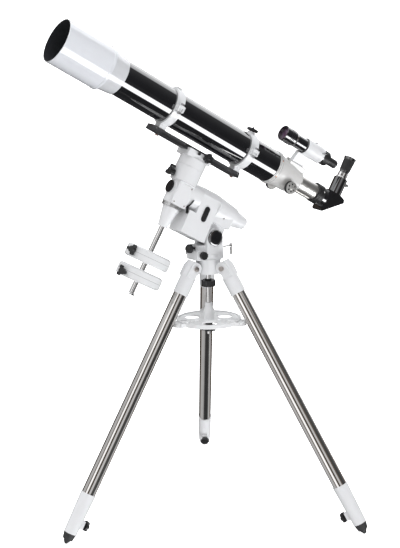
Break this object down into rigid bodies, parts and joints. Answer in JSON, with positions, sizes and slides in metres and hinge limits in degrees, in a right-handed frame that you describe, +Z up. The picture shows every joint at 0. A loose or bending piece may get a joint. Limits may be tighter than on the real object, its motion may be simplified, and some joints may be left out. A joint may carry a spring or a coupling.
{
  "type": "telescope",
  "caption": "Long refracting telescope with a dew shield and star diagonal on an equatorial mount with counterweights and a steel-tube tripod.",
  "frame": {"origin": "point on the floor below the tripod's centre rod", "axes": "+Z up; the tube points towards -X and up; +Y is the side the declination shaft's far face looks to, away from the finder"},
  "size_m": [1.1324, 0.949, 1.5736],
  "materials": {
    "white_paint": "smooth satin white paint",
    "cap_white": "white moulded plastic",
    "tray_paint": "smooth white paint",
    "weight_iron": "cast iron under white paint",
    "steel_bolts": "plated steel",
    "chrome": "polished",
    "leg_steel": "polished stainless steel",
    "black_plastic": "black moulded plastic",
    "cap_gloss": "gloss black",
    "foot_rubber": "black rubber",
    "circle_metal": "satin with engraved ticks",
    "bar_anodised": "dark grey anodised",
    "black_gloss": "high gloss black paint",
    "cell_white": "gloss white paint on aluminium",
    "shield_white": "gloss white paint on aluminium",
    "lens_glass": "coated glass",
    "focuser_grey": "light warm grey paint on cast aluminium",
    "silver_anodised": "satin",
    "eyepiece_black": "black anodised with a rubber eyecup",
    "finder_white": "white paint"
  },
  "bodies": {
    "tripod_hub": {"hub": "white_paint", "hinge_bolts": "steel_bolts"},
    "mount_rod": {"centre_rod": "chrome", "rod_knob": "black_plastic"},
    "tray": {"tray": "tray_paint"},
    "tray_knob": {"tray_knob": "black_plastic"},
    "azimuth_head": {"azimuth_base": "white_paint", "pivot_caps": "cap_gloss"},
    "azimuth_knob_near": {"azimuth_knob_near": "black_plastic"},
    "azimuth_knob_far": {"azimuth_knob_far": "black_plastic"},
    "latitude_screw": {"latitude_screw": "black_plastic"},
    "latitude_bolt": {"latitude_bolt": "chrome"},
    "polar_head": {"polar_housing": "white_paint", "side_cover": "black_plastic"},
    "rear_cap": {"rear_cap": "cap_white"},
    "declination_head": {"declination_housing": "white_paint", "weight_shaft": "chrome"},
    "front_cap": {"front_cap": "cap_gloss"},
    "declination_circle": {"declination_circle": "circle_metal"},
    "polar_lever": {"polar_lever": "black_plastic"},
    "declination_knob": {"declination_knob": "black_plastic"},
    "shaft_stop": {"shaft_stop": "chrome"},
    "weight_upper": {"weight_upper": "weight_iron"},
    "weight_lower": {"weight_lower": "weight_iron"},
    "weight_upper_knob": {"weight_upper_knob": "black_plastic"},
    "weight_lower_knob": {"weight_lower_knob": "black_plastic"},
    "saddle": {"saddle": "white_paint"},
    "saddle_knob": {"saddle_knob": "black_plastic"},
    "saddle_screw": {"saddle_screw": "chrome"},
    "cradle": {"dovetail_bar": "bar_anodised", "ring_bases": "white_paint"},
    "ring_top_front": {"ring_top_front": "white_paint"},
    "ring_top_rear": {"ring_top_rear": "white_paint"},
    "camera_wheel": {"camera_wheel": "black_plastic"},
    "optical_tube": {"main_tube": "black_gloss", "lens_cell": "cell_white", "objective": "lens_glass", "focuser_body": "focuser_grey"},
    "dew_shield": {"dew_shield": "shield_white"},
    "drawtube": {"drawtube": "silver_anodised"},
    "focus_knobs": {"focus_knobs": "silver_anodised"},
    "diagonal": {"diagonal": "cap_gloss"},
    "eyepiece": {"eyepiece": "eyepiece_black"},
    "finder": {"finder_bracket": "finder_white", "finder_scope": "black_gloss"},
    "leg_a": {"leg_a_castings": "white_paint", "leg_a_tube": "leg_steel"},
    "leg_a_lower": {"leg_a_inner": "leg_steel", "leg_a_foot": "foot_rubber"},
    "leg_a_knob": {"leg_a_knob": "black_plastic"},
    "leg_b": {"leg_b_castings": "white_paint", "leg_b_tube": "leg_steel"},
    "leg_b_lower": {"leg_b_inner": "leg_steel", "leg_b_foot": "foot_rubber"},
    "leg_b_knob": {"leg_b_knob": "black_plastic"},
    "leg_c": {"leg_c_castings": "white_paint", "leg_c_tube": "leg_steel"},
    "leg_c_lower": {"leg_c_inner": "leg_steel", "leg_c_foot": "foot_rubber"},
    "leg_c_knob": {"leg_c_knob": "black_plastic"}
  },
  "joints": [
    {"name": "leg_a_fold", "type": "hinge", "parent": "tripod_hub", "child": "leg_a", "pos_m": [-0.06, 0, 0.811], "axis": [0, -1, 0], "range_deg": [0, 20]},
    {"name": "leg_a_extend", "type": "slide", "parent": "leg_a", "child": "leg_a_lower", "axis": [-0.509, 0, -0.8607], "range_m": [0, 0.35]},
    {"name": "leg_a_clamp", "type": "hinge", "parent": "leg_a", "child": "leg_a_knob", "pos_m": [-0.47755, 0, 0.04602], "axis": [0.8607, 0, -0.509], "continuous": true},
    {"name": "leg_b_fold", "type": "hinge", "parent": "tripod_hub", "child": "leg_b", "pos_m": [0.03, 0.05196, 0.811], "axis": [-0.866, 0.5, 0], "range_deg": [0, 20]},
    {"name": "leg_b_extend", "type": "slide", "parent": "leg_b", "child": "leg_b_lower", "axis": [0.2545, 0.4408, -0.8607], "range_m": [0, 0.35]},
    {"name": "leg_b_clamp", "type": "hinge", "parent": "leg_b", "child": "leg_b_knob", "pos_m": [0.23878, 0.41357, 0.04602], "axis": [-0.4304, -0.7454, -0.509], "continuous": true},
    {"name": "leg_c_fold", "type": "hinge", "parent": "tripod_hub", "child": "leg_c", "pos_m": [0.03, -0.05196, 0.811], "axis": [0.866, 0.5, 0], "range_deg": [0, 20]},
    {"name": "leg_c_extend", "type": "slide", "parent": "leg_c", "child": "leg_c_lower", "axis": [0.2545, -0.4408, -0.8607], "range_m": [0, 0.35]},
    {"name": "leg_c_clamp", "type": "hinge", "parent": "leg_c", "child": "leg_c_knob", "pos_m": [0.23878, -0.41357, 0.04602], "axis": [-0.4304, 0.7454, -0.509], "continuous": true},
    {"name": "rod_turn", "type": "hinge", "parent": "tripod_hub", "child": "mount_rod", "pos_m": [0, 0, 0.7], "axis": [0, 0, 1], "continuous": true},
    {"name": "tray_drop", "type": "slide", "parent": "tripod_hub", "child": "tray", "axis": [0, 0, -1], "range_m": [0, 0.4]},
    {"name": "tray_knob_turn", "type": "hinge", "parent": "tray", "child": "tray_knob", "pos_m": [0, 0, 0.607], "axis": [0, 0, 1], "continuous": true},
    {"name": "azimuth", "type": "hinge", "parent": "tripod_hub", "child": "azimuth_head", "pos_m": [0, 0, 0.85], "axis": [0, 0, 1], "range_deg": [-8, 8]},
    {"name": "azimuth_knob_near_turn", "type": "hinge", "parent": "azimuth_head", "child": "azimuth_knob_near", "pos_m": [-0.042, -0.04, 0.855], "axis": [0, -1, 0], "continuous": true},
    {"name": "azimuth_knob_far_turn", "type": "hinge", "parent": "azimuth_head", "child": "azimuth_knob_far", "pos_m": [-0.042, 0.04, 0.855], "axis": [0, 1, 0], "continuous": true},
    {"name": "latitude_screw_turn", "type": "hinge", "parent": "azimuth_head", "child": "latitude_screw", "pos_m": [-0.07, 0, 0.875], "axis": [1, 0, 0], "continuous": true},
    {"name": "latitude_bolt_turn", "type": "hinge", "parent": "azimuth_head", "child": "latitude_bolt", "pos_m": [0.05, 0, 0.868], "axis": [1, 0, 0], "continuous": true},
    {"name": "altitude", "type": "hinge", "parent": "azimuth_head", "child": "polar_head", "pos_m": [0.003, 0, 0.907], "axis": [0, 1, 0], "range_deg": [-8, 18]},
    {"name": "rear_cap_pull", "type": "slide", "parent": "polar_head", "child": "rear_cap", "axis": [0.8796, 0, -0.4756], "range_m": [0, 0.06]},
    {"name": "right_ascension", "type": "hinge", "parent": "polar_head", "child": "declination_head", "pos_m": [-0.02263, 0, 1.02129], "axis": [-0.8796, 0, 0.4756], "range_deg": [-95, 95]},
    {"name": "polar_lever_turn", "type": "hinge", "parent": "declination_head", "child": "polar_lever", "pos_m": [-0.06837, 0, 1.04603], "axis": [-0.8796, 0, 0.4756], "range_deg": [-30, 30]},
    {"name": "front_cap_pull", "type": "slide", "parent": "declination_head", "child": "front_cap", "axis": [-0.8796, 0, 0.4756], "range_m": [0, 0.05]},
    {"name": "declination_circle_turn", "type": "hinge", "parent": "declination_head", "child": "declination_circle", "pos_m": [-0.1279, 0.00374, 1.01583], "axis": [0.4745, -0.068, 0.8776], "continuous": true},
    {"name": "declination_clamp", "type": "hinge", "parent": "declination_head", "child": "declination_knob", "pos_m": [-0.12633, -0.00279, 1.12386], "axis": [-0.8796, 0, 0.4756], "continuous": true},
    {"name": "shaft_stop_turn", "type": "hinge", "parent": "declination_head", "child": "shaft_stop", "pos_m": [-0.27026, 0.02414, 0.75255], "axis": [0.4745, -0.068, 0.8776], "continuous": true},
    {"name": "weight_upper_slide", "type": "slide", "parent": "declination_head", "child": "weight_upper", "axis": [0.4745, -0.068, 0.8776], "range_m": [-0.02, 0.075]},
    {"name": "weight_lower_slide", "type": "slide", "parent": "declination_head", "child": "weight_lower", "axis": [0.4745, -0.068, 0.8776], "range_m": [-0.028, 0.02]},
    {"name": "weight_upper_clamp", "type": "hinge", "parent": "weight_upper", "child": "weight_upper_knob", "pos_m": [-0.27832, -0.01034, 0.89667], "axis": [-0.8423, -0.3248, 0.4302], "continuous": true},
    {"name": "weight_lower_clamp", "type": "hinge", "parent": "weight_lower", "child": "weight_lower_knob", "pos_m": [-0.31249, -0.00545, 0.83348], "axis": [-0.8423, -0.3248, 0.4302], "continuous": true},
    {"name": "declination", "type": "hinge", "parent": "declination_head", "child": "saddle", "pos_m": [-0.09231, -0.00136, 1.08165], "axis": [0.4745, -0.068, 0.8776], "continuous": true},
    {"name": "saddle_knob_turn", "type": "hinge", "parent": "saddle", "child": "saddle_knob", "pos_m": [-0.02929, -0.05323, 1.16035], "axis": [-0.0324, -0.9977, -0.0598], "continuous": true},
    {"name": "saddle_screw_turn", "type": "hinge", "parent": "saddle", "child": "saddle_screw", "pos_m": [-0.05904, -0.04824, 1.17682], "axis": [-0.0324, -0.9977, -0.0598], "continuous": true},
    {"name": "tube_balance", "type": "slide", "parent": "saddle", "child": "cradle", "axis": [-0.8796, 0, 0.4756], "range_m": [-0.06, 0.06]},
    {"name": "ring_front_open", "type": "hinge", "parent": "cradle", "child": "ring_top_front", "pos_m": [-0.13664, 0.05273, 1.32346], "axis": [-0.8796, 0, 0.4756], "range_deg": [0, 100]},
    {"name": "ring_rear_open", "type": "hinge", "parent": "cradle", "child": "ring_top_rear", "pos_m": [0.13201, 0.05273, 1.1782], "axis": [-0.8796, 0, 0.4756], "range_deg": [0, 100]},
    {"name": "camera_wheel_turn", "type": "hinge", "parent": "ring_top_rear", "child": "camera_wheel", "pos_m": [0.16306, -0.01887, 1.23563], "axis": [0.4745, -0.068, 0.8776], "continuous": true},
    {"name": "tube_turn", "type": "hinge", "parent": "cradle", "child": "optical_tube", "pos_m": [-0.00334, -0.01411, 1.2462], "axis": [-0.8796, 0, 0.4756], "continuous": true},
    {"name": "dew_shield_pull", "type": "slide", "parent": "optical_tube", "child": "dew_shield", "axis": [-0.8796, 0, 0.4756], "range_m": [0, 0.15]},
    {"name": "focus_travel", "type": "slide", "parent": "optical_tube", "child": "drawtube", "axis": [0.8796, 0, -0.4756], "range_m": [-0.07, 0.06]},
    {"name": "focus_turn", "type": "hinge", "parent": "optical_tube", "child": "focus_knobs", "pos_m": [0.28218, -0.01167, 1.051], "axis": [0.0324, 0.9977, 0.0598], "continuous": true},
    {"name": "diagonal_turn", "type": "hinge", "parent": "drawtube", "child": "diagonal", "pos_m": [0.44528, -0.01411, 1.00364], "axis": [-0.8796, 0, 0.4756], "continuous": true},
    {"name": "eyepiece_pull", "type": "slide", "parent": "diagonal", "child": "eyepiece", "axis": [0.4745, -0.068, 0.8776], "range_m": [0, 0.035]},
    {"name": "finder_pull", "type": "slide", "parent": "optical_tube", "child": "finder", "axis": [0.8796, 0, -0.4756], "range_m": [0, 0.075]}
  ],
  "couplings": [
    {"joint": "leg_b_fold", "follows": "leg_a_fold", "ratio": 1},
    {"joint": "leg_c_fold", "follows": "leg_a_fold", "ratio": 1},
    {"joint": "tray_drop", "follows": "leg_a_fold", "m_per_rad": 1.1459},
    {"joint": "focus_turn", "follows": "focus_travel", "rad_per_m": 235.3}
  ]
}
